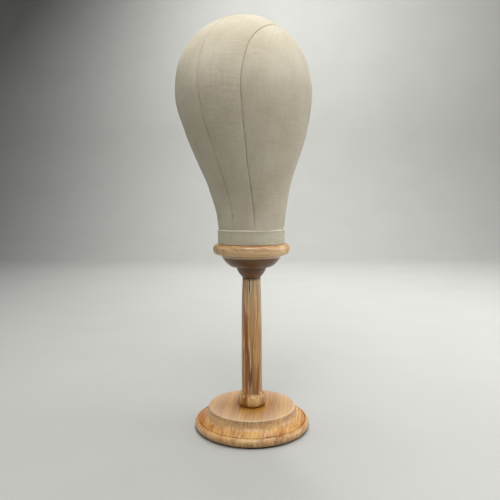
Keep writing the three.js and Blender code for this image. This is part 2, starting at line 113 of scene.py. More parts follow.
# The viewer's side of the object, clockwise from the face, seen from above
VIEW_AZIMUTH = math.radians(33)


# ------------------------------------------------------------------ sizes and colours a user sets

def linear(hex_colour):
    """sRGB hex to linear red, green, blue and alpha."""
    channels = [int(hex_colour[i:i + 2], 16) / 255 for i in (1, 3, 5)]
    curve = [c / 12.92 if c <= 0.04045 else ((c + 0.055) / 1.055) ** 2.4 for c in channels]
    return (*curve, 1.0)


def colour(name, description, hex_colour):
    """A colour property whose default is an sRGB hex value."""
    return FloatVectorProperty(
        name=name, description=description, subtype="COLOR", size=4, min=0, max=1,
        default=linear(hex_colour),
    )


def length(name, description, millimetres):
    """A length property whose default is given in millimetres."""
    return FloatProperty(
        name=name, description=description, subtype="DISTANCE", unit="LENGTH", min=0,
        default=millimetres * MM, precision=5,
    )


class BlockHeadCanvas(bpy.types.PropertyGroup):
    """The canvas head and its tape."""

    cloth: colour("Canvas", "Unbleached canvas in even light", "#E2DBCA")
    cloth_shade: colour("Canvas in the weave", "Colour between the threads", "#8C816B")
    # Painted shade: the colour laid along the seams' creases.
    seam: colour("Seam", "Soiled thread down in the seams", "#6B604C")
    tape: colour("Neck tape", "Herringbone tape round the neck", "#D6D1BF")
    thread_spacing: length("Thread spacing", "From one drawn thread to the next", 1.25)
    seam_depth: length("Seam depth", "How far the seams pull into the stuffing", 0.6)
    seam_width: length("Seam width", "Half width of the pulled-in line", 0.45)
    lumps: length("Lumps", "How uneven the packed stuffing is", 0.5)
    rows: IntProperty(
        name="Rows", description="Points from the neck to the crown", default=190, min=40,
    )


class BlockHeadStand(bpy.types.PropertyGroup):
    """The turned and varnished stand."""

    early_wood: colour("Early wood", "Pale, fast-grown part of a year ring", "#E8C690")
    late_wood: colour("Late wood", "Dark, resinous part of a year ring", "#B07A42")
    streak: colour("Dark streak", "Darkest lines of the grain", "#70492A")
    ring_spacing: length("Ring spacing", "Width of one year ring", 5)
    varnish: FloatProperty(
        name="Varnish", description="Weight of the clear varnish", subtype="FACTOR",
        default=0.5, min=0, max=1,
    )
    sides: IntProperty(
        name="Sides", description="Facets round a turned piece", default=192, min=24,
    )


class BlockHeadStage(bpy.types.PropertyGroup):
    """Floor, light and camera."""

    floor: colour("Floor", "Plain pale floor and backdrop", "#A9A9A5")
    light_power: FloatProperty(
        name="Light power", description="Power that the soft lights share out", unit="POWER",
        default=20, min=0,
    )
    camera_distance: length("Camera distance", "From the stand's axis", 697)
    camera_height: length("Camera height", "Above the surface the stand is on", 289.2)


# ------------------------------------------------------------------ meshes from whole arrays

def grid_faces(rows, columns, wrap_rows=False, wrap_columns=False):
    """Quads over a grid of points. They face outwards where rows rise and columns run
    anticlockwise."""
    i = np.arange(rows if wrap_rows else rows - 1)
    j = np.arange(columns if wrap_columns else columns - 1)
    i, j = np.meshgrid(i, j, indexing="ij")
    above, beside = (i + 1) % rows, (j + 1) % columns
    corners = [i * columns + j, i * columns + beside, above * columns + beside,
               above * columns + j]
    return np.stack(corners, axis=-1).reshape(-1, 4)


def add_mesh(name, points, face_sets, sharp_angle=40):
    """An object at the origin from an array of points and arrays of triangles and quads."""
    corners = np.concatenate([faces.ravel() for faces in face_sets])
    sizes = np.concatenate([np.full(len(faces), faces.shape[1]) for faces in face_sets])
    mesh = bpy.data.meshes.new(name)
    mesh.vertices.add(len(points))
    mesh.vertices.foreach_set("co", np.ascontiguousarray(points, dtype=np.float32).ravel())
    mesh.loops.add(len(corners))
    mesh.loops.foreach_set("vertex_index", corners.astype(np.int32))
    mesh.polygons.add(len(sizes))
    starts = np.concatenate([[0], np.cumsum(sizes)[:-1]])
    mesh.polygons.foreach_set("loop_start", starts.astype(np.int32))
    mesh.update(calc_edges=True)
    mesh.validate()
    mesh.shade_smooth()
    mesh.set_sharp_from_angle(angle=math.radians(sharp_angle))
    piece = bpy.data.objects.new(name, mesh)
    bpy.context.scene.collection.objects.link(piece)
    return piece


def mark(piece, name, formula):
    """Stores formula(points), one number for each vertex, as an attribute that a material
    reads."""
    points = np.empty(3 * len(piece.data.vertices), dtype=np.float32)
    piece.data.vertices.foreach_get("co", points)
    attribute = piece.data.attributes.new(name, "FLOAT", "POINT")
    attribute.data.foreach_set("value", formula(points.reshape(-1, 3)).astype(np.float32))


def girth_of(points):
    """Distance from the upright axis."""
    return np.hypot(points[..., 0], points[..., 1])


def bearing_of(points):
    """Angle about the upright axis from the face, positive to the left ear."""
    return np.arctan2(points[..., 0], -points[..., 1])


def away_from(points, radius, height):
    """Distance from a level circle about the axis, which is given in millimetres."""
    return np.hypot(girth_of(points) - radius * MM, points[..., 2] - height * MM)


def settle(piece, body, slot, material, *nodes):
    """Gives a piece its material and its body, and hides the nodes it stands for. slot is not
    used.
    """
    piece.data.materials.append(material)
    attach(piece, body)
    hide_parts(*nodes)


def arc(radius, height, radial, vertical, start, end, steps=12):
    """Points [radius, height] on an ellipse's arc; angles in degrees from outwards."""
    angle = np.radians(np.linspace(start, end, steps + 1))
    return np.stack([radius + radial * np.cos(angle), height + vertical * np.sin(angle)], -1)


def bowed(start, end, bow, steps=12):
    """Points [radius, height] on a rising slant whose middle bulges out and down by bow."""
    start, end = np.array(start, dtype=float), np.array(end, dtype=float)
    share = np.linspace(0, 1, steps + 1)[:, None]
    across, up = end - start
    outwards = np.array([up, -across]) / math.hypot(across, up)
    return start + (end - start) * share + 4 * bow * share * (1 - share) * outwards


def outline(*parts):
    """One outline [radius, height] from single points and runs of points."""
    return np.concatenate([np.atleast_2d(np.asarray(part, dtype=float)) for part in parts])


def about_face(radius, theta, height):
    """Points at that radius and height. theta is 0 at the face and grows to the left ear."""
    return np.stack(np.broadcast_arrays(
        radius * np.sin(theta), -radius * np.cos(theta), height), -1)


def softened(points, radius, steps=4):
    """The outline with every sharp corner rounded: a quadratic curve joins the points that
    lie radius before and after the corner, or less where a side is short."""
    before = np.vstack([points[:1], points[:-1]])
    after = np.vstack([points[1:], points[-1:]])
    to_before, to_after = before - points, after - points
    near = np.maximum(np.linalg.norm(to_before, axis=1), 1e-9)
    far = np.maximum(np.linalg.norm(to_after, axis=1), 1e-9)
    turn = (to_before * to_after).sum(1) / (near * far)
    sharp = (turn > -0.9) & (near > 1e-8) & (far > 1e-8)
    cut = np.minimum(radius, 0.45 * np.minimum(near, far))[:, None]
    start = points + to_before / near[:, None] * cut
    end = points + to_after / far[:, None] * cut
    share = np.linspace(0, 1, steps + 1)[:, None]
    pieces = []
    for corner, begin, finish, is_sharp in zip(points, start, end, sharp):
        if is_sharp:
            pieces.append((1 - share) ** 2 * begin + 2 * share * (1 - share) * corner
                          + share ** 2 * finish)
        else:
            pieces.append(corner[None])
    return np.concatenate(pieces)


def turned_points(profile, sides):
    """Every profile point [radius, height] swept round the axis in equal steps."""
    angle = np.linspace(0, 2 * np.pi, sides, endpoint=False)
    radius, height = profile[:, :1], profile[:, 1:]
    return np.stack([radius * np.cos(angle), radius * np.sin(angle),
                     np.broadcast_to(height, (len(profile), sides))], -1)


def turned(name, profile, sides, change=None, centre=(0, 0), sharp_angle=40):
    """A turned solid. A profile that starts and ends on the axis closes there at a pole, and
    any other closes on itself as a ring. change may move the swept points."""
    profile = np.asarray(profile)
    closes_low = profile[0, 0] < 1e-7
    closes_high = profile[-1, 0] < 1e-7
    rings = profile[int(closes_low):len(profile) - int(closes_high)]
    points = turned_points(rings, sides)
    if change:
        points = change(points)
    faces = [grid_faces(len(rings), sides, wrap_rows=not closes_low, wrap_columns=True)]
    around = np.arange(sides)
    beside = (around + 1) % sides
    points = points.reshape(-1, 3)
    if closes_low:
        pole = np.full(sides, len(points))
        points = np.vstack([points, [0, 0, profile[0, 1]]])
        faces.append(np.stack([pole, beside, around], -1))
    if closes_high:
        last = (len(rings) - 1) * sides
        pole = np.full(sides, len(points))
        points = np.vstack([points, [0, 0, profile[-1, 1]]])
        faces.append(np.stack([pole, last + around, last + beside], -1))
    points[:, :2] += centre
    return add_mesh(name, points, faces, sharp_angle)


# ------------------------------------------------------------------ materials

def tone(value):
    """A linear colour from an sRGB hex value or from a grey's linear value. Anything else is
    passed on as it is."""
    if isinstance(value, str):
        return linear(value)
    return (value, value, value, 1) if isinstance(value, float) else value


def feed(tree, node, inputs):
    """Sets or links a node's inputs. inputs maps a socket's name or number to a value or to the
    output that feeds it."""
    for key, value in inputs.items():
        if isinstance(value, bpy.types.NodeSocket):
            tree.links.new(value, node.inputs[key])
        else:
            node.inputs[key].default_value = value


def add_node(tree, kind, inputs, out=0, stops=None, **settings):
    """Adds one shader node with its settings, its inputs and, for a ramp, its stops from
    position to tone. Gives the output of that name or number."""
    node = tree.nodes.new("ShaderNode" + kind)
    for key, value in settings.items():
        setattr(node, key, value)
    feed(tree, node, inputs)
    if stops:
        elements = node.color_ramp.elements
        while len(elements) < len(stops):
            elements.new(0.5)
        for element, (position, shade) in zip(elements, stops.items()):
            element.position = position
            element.color = tone(shade)
    return node.outputs[out]


def start_material(name, shader):
    """A new material with its shader's constants, the function that adds its nodes, and its
    object coordinates."""
    material = bpy.data.materials.new(name)
    material.use_nodes = True
    tree = material.node_tree
    tree.nodes.clear()
    add = partial(add_node, tree)
    shaded = add("BsdfPrincipled", shader)
    feed(tree, tree.nodes.new("ShaderNodeOutputMaterial"), {0: shaded})
    return material, add, add("TexCoord", {}, "Object")


def finish_material(material, base, layers=(), relief=None, **others):
    """Lays each (strength, tone, blend) over the base colour in turn, presses relief into the
    surface, which is a height from 0 to 1, its depth in metres and its strength, and feeds the
    shader's other inputs. A strength is held between 0 and 1."""
    tree = material.node_tree
    for strength, shade, blend in layers:
        base = add_node(tree, "Mix", {0: strength, 6: base, 7: tone(shade)}, 2,
                        data_type="RGBA", blend_type=blend)
    inputs = {"Base Color": base, **others}
    if relief:
        height, depth, strength = relief
        inputs["Normal"] = add_node(tree, "Bump", {
            "Height": height, "Distance": depth, "Strength": strength,
        })
    feed(tree, tree.nodes["Principled BSDF"], inputs)
    return material


def varnished_pine(name, grain, pith, seed, tint, contrast, streaks, shine=1.0):
    """Slow-grown pine, turned, sanded and varnished: pale early wood and resinous late wood in
    year rings about the pith, lengthwise fibres, a few dark streaks, thirsty end grain, and a
    clear satin coat. grain is the turn that lays the trunk's axis along local Z, pith is the
    shift of the axis in metres, seed picks another part of the tree, tint is a colour laid over
    the whole piece, the varnish's own colour and on the capital also painted shade, contrast
    and streaks are how strong the rings and the streaks are, and shine is how much of the
    varnish's gloss is left. Its attributes lay painted light and painted shade over it."""
    stand = bpy.context.scene.block_head_stand
    material, add, place = start_material(name, {
        "IOR": 1.5, "Specular IOR Level": 0.35 * shine, "Coat Weight": stand.varnish * shine,
        "Coat Roughness": 0.16, "Coat IOR": 1.5,
    })
    trunk = add("Mapping", {"Vector": place, "Location": pith, "Rotation": grain})
    # The trunk wanders: rings shift by a few millimetres over a hand's length.
    slow = add("Mapping", {"Vector": trunk, "Location": (seed, seed, seed),
                           "Scale": (1, 1, 0.35)})
    wander = add("TexNoise", {"Vector": slow, "Scale": 16.0, "Detail": 2.0}, 1)
    offset = add("VectorMath", {0: wander, 1: (0.016, 0.016, 0)}, operation="MULTIPLY")
    bent = add("VectorMath", {0: trunk, 1: offset}, operation="ADD")
    rings = add("TexWave", {
        "Vector": bent, "Scale": 2 * math.pi / 20 / stand.ring_spacing,
        "Distortion": 1.4, "Detail": 2.0, "Detail Scale": 0.6,
    }, 1, wave_type="RINGS", rings_direction="Z", wave_profile="SAW")
    year = add("ValToRGB", {0: rings}, stops={0.0: 0.3, 0.15: 0.05, 0.5: 0.2, 0.85: 1.0, 1.0: 0.3})
    # Fibres are 0.5 mm wide and run 25 times as far along the trunk, bundles 3 mm wide.
    along = add("Mapping", {"Vector": trunk, "Location": (seed, 0, 0), "Scale": (1, 1, 0.04)})
    upright = add("Mapping", {"Vector": place, "Location": (seed, 0, 0), "Scale": (1, 1, 0.1)})
    fibres, bundles, threads, broad, patches, pores = [
        add("TexNoise", {"Vector": vector, "Scale": scale, "Detail": detail, "Roughness": rough})
        for vector, scale, detail, rough in (
            (along, 1000.0, 3.0, 0.65), (along, 170.0, 3.0, 0.6), (along, 380.0, 2.0, 0.6),
            (along, 80.0, 1.0, 0.5), (slow, 60.0, 1.0, 0.5), (upright, 420.0, 2.0, 0.6),
        )
    ]
    # Some rings are darker than others.
    uneven = add("ValToRGB", {0: patches}, stops={0.35: 0.15, 0.65: 0.9})
    ringed = add("Math", {0: year, 1: uneven}, operation="MULTIPLY")
    ringed = add("Math", {0: ringed, 1: contrast}, operation="MULTIPLY")
    # Bands 12 mm wide are redder, as where the tree grew in dry years.
    bands = add("ValToRGB", {0: broad}, stops={0.35: "#FFFFFF", 0.65: "#CBA277"})
    fine = add("ValToRGB", {0: fibres}, stops={0.3: 0.62, 0.6: 1.0})
    dark = add("ValToRGB", {0: bundles}, stops={0.5: 0.0, 0.7: streaks})
    pale = add("ValToRGB", {0: threads}, stops={0.54: 0.0, 0.66: 0.9 * streaks})
    ends, aged_and_shaded, painted_light_and_pale_edges, crack_shade_and_glint = [add("Attribute", {}, "Fac", attribute_name=each)
                               for each in ("ends", "aged_and_shaded", "painted_light_and_pale_edges", "crack_shade_and_glint")]
    # End grain faces along the trunk, or is marked, and drinks the varnish in dark strokes.
    facing = add("Mapping", {"Vector": add("TexCoord", {}, "Normal"), "Rotation": grain})
    facing = add("Math", {0: add("SeparateXYZ", {0: facing}, 2)}, operation="ABSOLUTE")
    facing = add("Math", {0: facing, 1: 14.0}, operation="POWER")
    ends = add("Math", {0: facing, 1: ends}, operation="MAXIMUM")
    strokes = add("ValToRGB", {0: pores}, stops={0.48: 0.0, 0.58: 0.9})
    strokes = add("Math", {0: ends, 1: strokes}, operation="MULTIPLY")
    crack_and_joint_shade = add("Math", {0: crack_shade_and_glint, 1: 1.3}, operation="MULTIPLY")
    lip_highlight = add("Math", {0: crack_shade_and_glint, 1: -2.5}, operation="MULTIPLY")
    pressed = add("Math", {0: year, 1: -0.3}, operation="MULTIPLY")
    return finish_material(material, stand.early_wood, [
        (ringed, stand.late_wood, "MIX"),
        (min(1.0, 0.35 + 0.6 * contrast), bands, "MULTIPLY"),
        (0.7, fine, "MULTIPLY"),
        (dark, stand.streak, "MIX"),
        (pale, "#F6DFB4", "MIX"),
        (strokes, stand.streak, "MIX"),
        (1.0, tint, "MULTIPLY"),
        # Level faces are darkened towards amber: partly the varnish's age, partly painted shade
        # where the overhead light falls hardest.
        (aged_and_shaded, "#D2C07C", "MULTIPLY"),
        # Painted light: rims and the capital's fillet are painted paler as highlights, the base's
        # cove and the column's top are painted paler where shade falls, and a few other edges are
        # paler.
        (painted_light_and_pale_edges, "#E6CFAE", "MIX"),
        # Painted shade in a crack's bed and at the joint under the capital, and a painted
        # highlight on a crack's lip.
        (crack_and_joint_shade, "#2E1C0F", "MIX"),
        (lip_highlight, "#F0DCB8", "MIX"),
    ], (add("Math", {0: pressed, 1: fibres}, operation="ADD"), 0.12 * MM, 0.4),
        Roughness=add("ValToRGB", {0: fibres}, stops={0.3: 0.52, 0.7: 0.38}))


def bare_wood(name, pale, dark):
    """Beech or softwood straight from the lathe: matt, fine fibres along Z, faint rings."""
    material, add, place = start_material(name, {"Roughness": 0.62})
    along = add("Mapping", {"Vector": place, "Scale": (1, 1, 0.06)})
    fibres = add("TexNoise", {"Vector": along, "Scale": 900.0, "Detail": 3.0, "Roughness": 0.6})
    rings = add("TexWave", {"Vector": place, "Scale": 95.0, "Distortion": 3.0, "Detail": 2.0}, 1,
                wave_type="BANDS", bands_direction="X")
    grain = add("Math", {0: fibres, 1: rings}, operation="ADD")
    grain = add("Math", {0: grain, 1: 0.5}, operation="MULTIPLY")
    return finish_material(material, add("ValToRGB", {0: grain}, stops={0.25: dark, 0.65: pale}),
                           relief=(fibres, 0.15 * MM, 0.6))


def weave_height(add, spacing):
    """Plain weave over the piece's own UV map in metres. Each crossing is a small pillow, long
    in the direction of the thread that is on top, and the top thread changes at each step."""
    flat = add("UVMap", {}, uv_map="Weave")
    wobble = add("TexNoise", {"Vector": flat, "Scale": 60.0, "Detail": 2.0}, 1)
    push = add("VectorMath", {0: wobble, 1: (0.0022, 0.0022, 0)}, operation="MULTIPLY")
    threads = add("VectorMath", {0: flat, 1: push}, operation="ADD")
    counted = add("VectorMath", {0: threads, "Scale": math.pi / spacing}, operation="SCALE")
    warp, weft = [add("Math", {0: add("SeparateXYZ", {0: counted}, axis)}, operation="SINE")
                  for axis in (0, 1)]
    product = add("Math", {0: warp, 1: weft}, operation="MULTIPLY")
    on_top = add("Math", {0: product, 1: 0.0}, operation="GREATER_THAN")
    warp, weft = [add("Math", {0: each}, operation="ABSOLUTE") for each in (warp, weft)]
    pillows = []
    for long, short in ((weft, warp), (warp, weft)):
        short = add("Math", {0: short, 1: 0.35}, operation="POWER")
        pillows.append(add("Math", {0: long, 1: short}, operation="MULTIPLY"))
    height = add("Mix", {0: on_top, 2: pillows[0], 3: pillows[1]}, data_type="FLOAT")
    return height, flat, on_top


def woven_cotton(name, cloth, between, spacing, seams=True, highlight_edge=None):
    """Unbleached cotton canvas, plain weave: matt, with a faint dusty sheen, thick and thin
    threads, and painted shade in the seams' creases. Real threads are 0.6 mm apart; they are
    drawn wider so that the weave still shows from across the room."""
    material, add, place = start_material(name, {
        "Roughness": 0.92, "Specular IOR Level": 0.25, "Sheen Weight": 0.18,
        "Sheen Roughness": 0.5,
    })
    height, flat, on_top = weave_height(add, spacing)
    lengthwise = add("Mapping", {"Vector": flat, "Scale": (1, 0.04, 1)})
    crosswise = add("Mapping", {"Vector": flat, "Scale": (0.09, 1, 1)})
    warp_slubs, weft_slubs, clouds = [
        add("TexNoise", {"Vector": vector, "Scale": scale, "Detail": detail, "Roughness": rough})
        for vector, scale, detail, rough in (
            (lengthwise, 420.0, 2.0, 0.6), (crosswise, 520.0, 2.0, 0.6), (place, 22.0, 3.0, 0.55),
        )
    ]
    slubs = add("Mix", {0: on_top, 2: weft_slubs, 3: warp_slubs}, data_type="FLOAT")
    raised = add("Math", {0: slubs, 1: 0.5}, operation="MULTIPLY")
    lines = add("ValToRGB", {0: weft_slubs}, stops={0.28: 0.76, 0.4: 0.88, 0.6: 0.9, 0.7: 1.0})
    columns = add("ValToRGB", {0: warp_slubs}, stops={0.3: 0.86, 0.6: 1.0})
    cloudy = add("ValToRGB", {0: clouds}, stops={0.35: "#E9E2D2", 0.65: "#FFFDF6"})
    layers = [(0.85, lines, "MULTIPLY"), (0.5, columns, "MULTIPLY"), (0.7, cloudy, "MULTIPLY")]
    if seams:
        # Painted shade in the seams' creases.
        seam = add("Attribute", {}, "Fac", attribute_name="seam")
        layers.append((seam, bpy.context.scene.block_head_canvas.seam, "MIX"))
    if highlight_edge:
        # Painted highlight: the fold at the top edge is painted pale, where the light from above
        # catches it.
        edge_highlight = add("MapRange", {
            "Value": add("SeparateXYZ", {0: flat}, 1), "From Min": highlight_edge - 1.6 * MM,
            "From Max": highlight_edge - 0.6 * MM,
        })
        layers.append((edge_highlight, "#F4EEDC", "MIX"))
    return finish_material(
        material, add("ValToRGB", {0: height}, stops={0.05: between, 0.6: cloth}), layers,
        (add("Math", {0: height, 1: raised}, operation="ADD"), 0.25 * spacing, 0.6))


def pressed_felt():
    """Pressed wool felt: dark green, no weave, short tangled fibres."""
    material, add, place = start_material("pressed_wool_felt", {
        "Roughness": 0.95, "Sheen Weight": 0.4, "Sheen Roughness": 0.4,
    })
    fibres = add("TexNoise", {"Vector": place, "Scale": 2500.0, "Detail": 4.0, "Roughness": 0.7})
    shade = add("ValToRGB", {0: fibres}, stops={0.3: "#1D2A1E", 0.7: "#3B4E3A"})
    return finish_material(material, shade, relief=(fibres, 0.4 * MM, 0.8))


def metal(name, shade, roughness):
    """A turned or drawn metal: even colour, roughness broken up by fine tool marks."""
    material, add, place = start_material(name, {"Metallic": 1.0})
    rings = add("Mapping", {"Vector": place, "Scale": (1, 1, 8)})
    marks = add("TexNoise", {"Vector": rings, "Scale": 900.0, "Detail": 3.0, "Roughness": 0.6})
    worked = add("ValToRGB", {0: marks}, stops={0.3: roughness, 0.7: roughness + 0.18})
    return finish_material(material, tone(shade), relief=(marks, 0.05 * MM, 0.3),
                           Roughness=worked)


def packed_chips():
    """Packed sawdust and wood wool: coarse pale and dark flecks, no gloss."""
    material, add, place = start_material("packed_sawdust", {"Roughness": 1.0})
    flecks, cells = [add("TexVoronoi", {"Vector": place, "Scale": 420.0}, out) for out in (1, 0)]
    shade = add("ValToRGB", {0: flecks}, stops={0.1: "#6F5432", 0.5: "#A98A5C", 0.9: "#D2B98A"})
    return finish_material(material, shade, relief=(cells, 1.2 * MM, 0.8))


# ------------------------------------------------------------------ the head's form in arrays

def smooth(x):
    """0 to 1 with a level start and end."""
    x = np.clip(x, 0, 1)
    return x * x * (3 - 2 * x)


def eased(x):
    """0 to 1 at a steady rate, eased in and out over LEAN_EASE of the way."""
    x = np.clip(x, 0, 1)
    flat = 2 * LEAN_EASE * (1 - LEAN_EASE)
    middle = (x - LEAN_EASE / 2) / (1 - LEAN_EASE)
    return np.where(x < LEAN_EASE, x ** 2 / flat,
                    np.where(x > 1 - LEAN_EASE, 1 - (1 - x) ** 2 / flat, middle))


def neck_form(theta, height, inset):
    """Sections below the widest level: an ellipse that grows out of the round neck, leans to
    the face and is a little narrower at the temples. The canvas puffs out above the tape."""
    rise = (height - BAND_TOP) / (WIDEST_LEVEL - BAND_TOP)
    swell = smooth(rise)
    puff = 0.7 * MM * smooth((height - BAND_TOP + 1 * MM) / (9 * MM)) * (1 - smooth(rise * 3))
    depth = NECK_RADIUS + puff + (HALF_DEPTH - NECK_RADIUS) * swell - inset
    width = NECK_RADIUS + puff + (HALF_WIDTH - NECK_RADIUS) * swell - inset
    taper = 1 - TEMPLE_TAPER * swell * np.cos(theta)
    return np.stack([
        taper * width * np.sin(theta),
        -FORWARD * eased(rise) - depth * np.cos(theta),
        height + 0 * theta,
    ], -1)


def dome_form(direction, inset):
    """Half an ellipsoid above the widest level that leans back. direction is on the unit
    sphere: x to the left ear, y to the face, z up."""
    x, y, z = np.moveaxis(direction, -1, 0)
    return np.stack([
        (1 - TEMPLE_TAPER * y) * (HALF_WIDTH - inset) * x,
        -FORWARD + DOME_SET_BACK * z ** 2 - (HALF_DEPTH - inset) * y,
        WIDEST_LEVEL + (DOME_HEIGHT - inset) * z,
    ], -1)


def crown_way(theta, share):
    """Directions from the widest level at theta to the crown, upright at the start: a
    quadratic curve drawn back onto the unit sphere."""
    start = np.stack([np.sin(theta), np.cos(theta), 0 * theta], -1)
    bend = start + [0, 0, SEAM_RISE]
    crown = np.array([0, -math.sin(CROWN_TILT), math.cos(CROWN_TILT)])
    share = share[..., None]
    way = (1 - share) ** 2 * start + 2 * share * (1 - share) * bend + share ** 2 * crown
    return way / np.linalg.norm(way, axis=-1, keepdims=True)


def head_form(theta, rise, inset, bottom):
    """The whole head: rise 0 to 1 goes from bottom to the widest level, 1 to 2 to the crown."""
    below = np.clip(rise, 0, 1)
    neck = neck_form(theta, bottom + (WIDEST_LEVEL - bottom) * below, inset)
    dome = dome_form(crown_way(theta, np.clip(rise - 1, 0, 1)), inset)
    return np.where((rise <= 1)[..., None], neck, dome)


def lumpiness(points):
    """Slow unevenness of the packing, about -1 to 1: six crossing waves 35 to 90 mm long."""
    waves = np.array([
        [71, 23, 40], [-52, 88, 31], [38, -61, 93], [120, 64, -47], [-83, -97, 112],
        [33, 141, 76],
    ])
    phases = np.array([0.3, 1.9, 4.1, 2.2, 5.3, 0.9])
    return np.sin(points @ waves.T + phases).sum(-1) / 3.2


def bell(x, centre, width):
    """A bell curve: 1 at centre and 0.37 at width away from it."""
    return np.exp(-((x - centre) / width) ** 2)


def seam_wander(seam, rise):
    """How far a hand-sewn seam strays from its plan, in radians. The front side seams draw in
    at cheek height and out at the temples, and the middle seams stand a little to the left."""
    middle = min(seam % math.pi, -seam % math.pi) < 0.01
    if middle:
        return math.radians(1.7) + 0 * rise
    side = 1 if seam < math.pi else -1
    return math.radians(side) * (1.6 * bell(rise, 1.18, 0.17) - 1.2 * bell(rise, 0.5, 0.22)
                                 + 2.0 * smooth((rise - 1.5) / 0.2))


def seam_strength(seam):
    """How hard a seam pulls: 1 at the side and back seams, less in the middle of the face."""
    return 0.75 if min(seam, 2 * math.pi - seam) < 0.01 else 1.0


# ------------------------------------------------------------------ canvas

PANELS = {
    "front_panel_left": (0, FRONT_SEAM),
    "side_panel_left": (FRONT_SEAM, BACK_SEAM),
    "back_panel_left": (BACK_SEAM, math.pi),
    "back_panel_right": (math.pi, 2 * math.pi - BACK_SEAM),
    "side_panel_right": (2 * math.pi - BACK_SEAM, 2 * math.pi - FRONT_SEAM),
    "front_panel_right": (2 * math.pi - FRONT_SEAM, 2 * math.pi),
}


def running_length(points, axis):
    """Length along rows or columns of a grid of points, from its first point."""
    steps = np.linalg.norm(np.diff(points, axis=axis), axis=-1)
    start = np.zeros_like(np.take(steps, [0], axis=axis))
    return np.concatenate([start, np.cumsum(steps, axis=axis)], axis=axis)


def closed_sheet(name, outer, inner, flat, shade=0.0):
    """A sheet of cloth with a real thickness: two grids joined round their rim. flat is its
    UV map in metres and shade the seam attribute, both per grid point."""
    rows, columns = outer.shape[:2]
    count = rows * columns
    outside = grid_faces(rows, columns)
    index = np.arange(count).reshape(rows, columns)
    rim = np.concatenate([index[0, :-1], index[:-1, -1], index[-1, :0:-1], index[:0:-1, 0]])
    ahead = np.roll(rim, -1)
    walls = np.stack([ahead, rim, rim + count, ahead + count], -1)
    points = np.concatenate([outer.reshape(-1, 3), inner.reshape(-1, 3)])
    piece = add_mesh(name, points, [outside, outside[:, ::-1] + count, walls], 60)
    corners = np.empty(len(piece.data.loops), dtype=np.int32)
    piece.data.loops.foreach_get("vertex_index", corners)
    doubled = np.concatenate([flat.reshape(-1, 2)] * 2)
    layer = piece.data.uv_layers.new(name="Weave")
    layer.data.foreach_set("uv", doubled[corners].astype(np.float32).ravel())
    shade = np.broadcast_to(shade, (rows, columns)).ravel()
    seam = piece.data.attributes.new("seam", "FLOAT", "POINT")
    seam.data.foreach_set("value", np.tile(shade, 2).astype(np.float32))
    return piece


def sew_panel(node, from_seam, to_seam, material):
    """One canvas panel. Across, it runs from seam to seam with its points crowded at the
    seams; along, from under the neck tape to the crown. At a seam the cloth is pulled in by a
    narrow bell curve and a wider, shallower one, and between seams it swells a little."""
    canvas = bpy.context.scene.block_head_canvas
    fewest, on_a_side, crowding = 30, 84, 0.88
    stitch_length, most_swell = 4.4 * MM, 0.9 * MM
    columns = max(fewest, int(on_a_side * (to_seam - from_seam) / (BACK_SEAM - FRONT_SEAM)))
    even = np.linspace(0, 1, columns + 1)
    across = even - crowding * np.sin(2 * np.pi * even) / (2 * np.pi)
    rise = np.linspace(0, 1.998, canvas.rows)
    rise, across = np.meshgrid(rise, across, indexing="ij")
    start = from_seam + seam_wander(from_seam, rise)
    end = to_seam + seam_wander(to_seam, rise)
    theta = start + (end - start) * across
    plain = head_form(theta, rise, 0, CANVAS_BOTTOM)
    width = running_length(plain, 1)
    total = width[:, -1:]
    away = np.minimum(width, total - width)
    rows_up = running_length(plain, 0)
    stitch = 1 + 0.35 * np.sin(2 * np.pi * rows_up / stitch_length)
    crease = bell(away, 0, canvas.seam_width)
    valley = bell(away, 0, 4.5 * canvas.seam_width)
    swell = most_swell * np.sin(np.pi * np.clip(width / np.maximum(total, 1e-6), 0, 1)) ** 0.7
    above_tape = smooth((plain[..., 2] - BAND_TOP) / (14 * MM))
    fade = smooth(total / (12 * MM))
    # The middle seams are pressed flat, so they pull in less than the side seams.
    firm = np.where(width < total / 2, seam_strength(from_seam), seam_strength(to_seam))
    inset = canvas.seam_depth * firm * (crease * stitch + 0.3 * valley)
    inset = inset * (0.3 + 0.7 * above_tape)
    inset = inset - (swell * fade + canvas.lumps * lumpiness(plain)) * above_tape
    outer = head_form(theta, rise, inset, CANVAS_BOTTOM)
    inner = head_form(theta, rise, inset + CLOTH_THICKNESS, CANVAS_BOTTOM)
    centre = columns // 2
    # The cloth is cut on the grain: a crosswise thread leaves the middle at a right angle and
    # then keeps straight on the surface, so it rises where the head widens upwards. How much:
    # half its length squared times the head's widening over its radius.
    sideways = width - width[:, centre:centre + 1]
    upwards = np.broadcast_to(rows_up[:, centre:centre + 1], width.shape)
    girth = total[:, 0]
    widening = np.gradient(girth, rows_up[:, centre]) / np.maximum(girth, 1e-4)
    flat = np.stack([sideways, upwards - 0.5 * sideways ** 2 * widening[:, None]], -1)
    # The painted shade in the seams' creases is darker in some places than in others.
    shade_patchiness = 0.85 + 0.25 * np.sin(rows_up / (9 * MM)) * np.sin(rows_up / (3.7 * MM) + 1)
    shade = 0.75 * shade_patchiness * firm * stitch * bell(away, 0, 0.75 * canvas.seam_width) * above_tape
    piece = closed_sheet(node.replace("panel", "canvas"), outer, inner, flat, shade)
    settle(piece, "head", "canvas", material, node)


class BLOCKHEAD_OT_canvas(bpy.types.Operator):
    """Sew the six canvas panels over the stuffing"""

    bl_idname = "block_head.canvas"
    bl_label = "Sew canvas"

    def execute(self, context):
        canvas = context.scene.block_head_canvas
        material = woven_cotton("unbleached_canvas", canvas.cloth, canvas.cloth_shade,
                                canvas.thread_spacing)
        for node, (from_seam, to_seam) in PANELS.items():
            sew_panel(node, from_seam, to_seam, material)
        return {"FINISHED"}


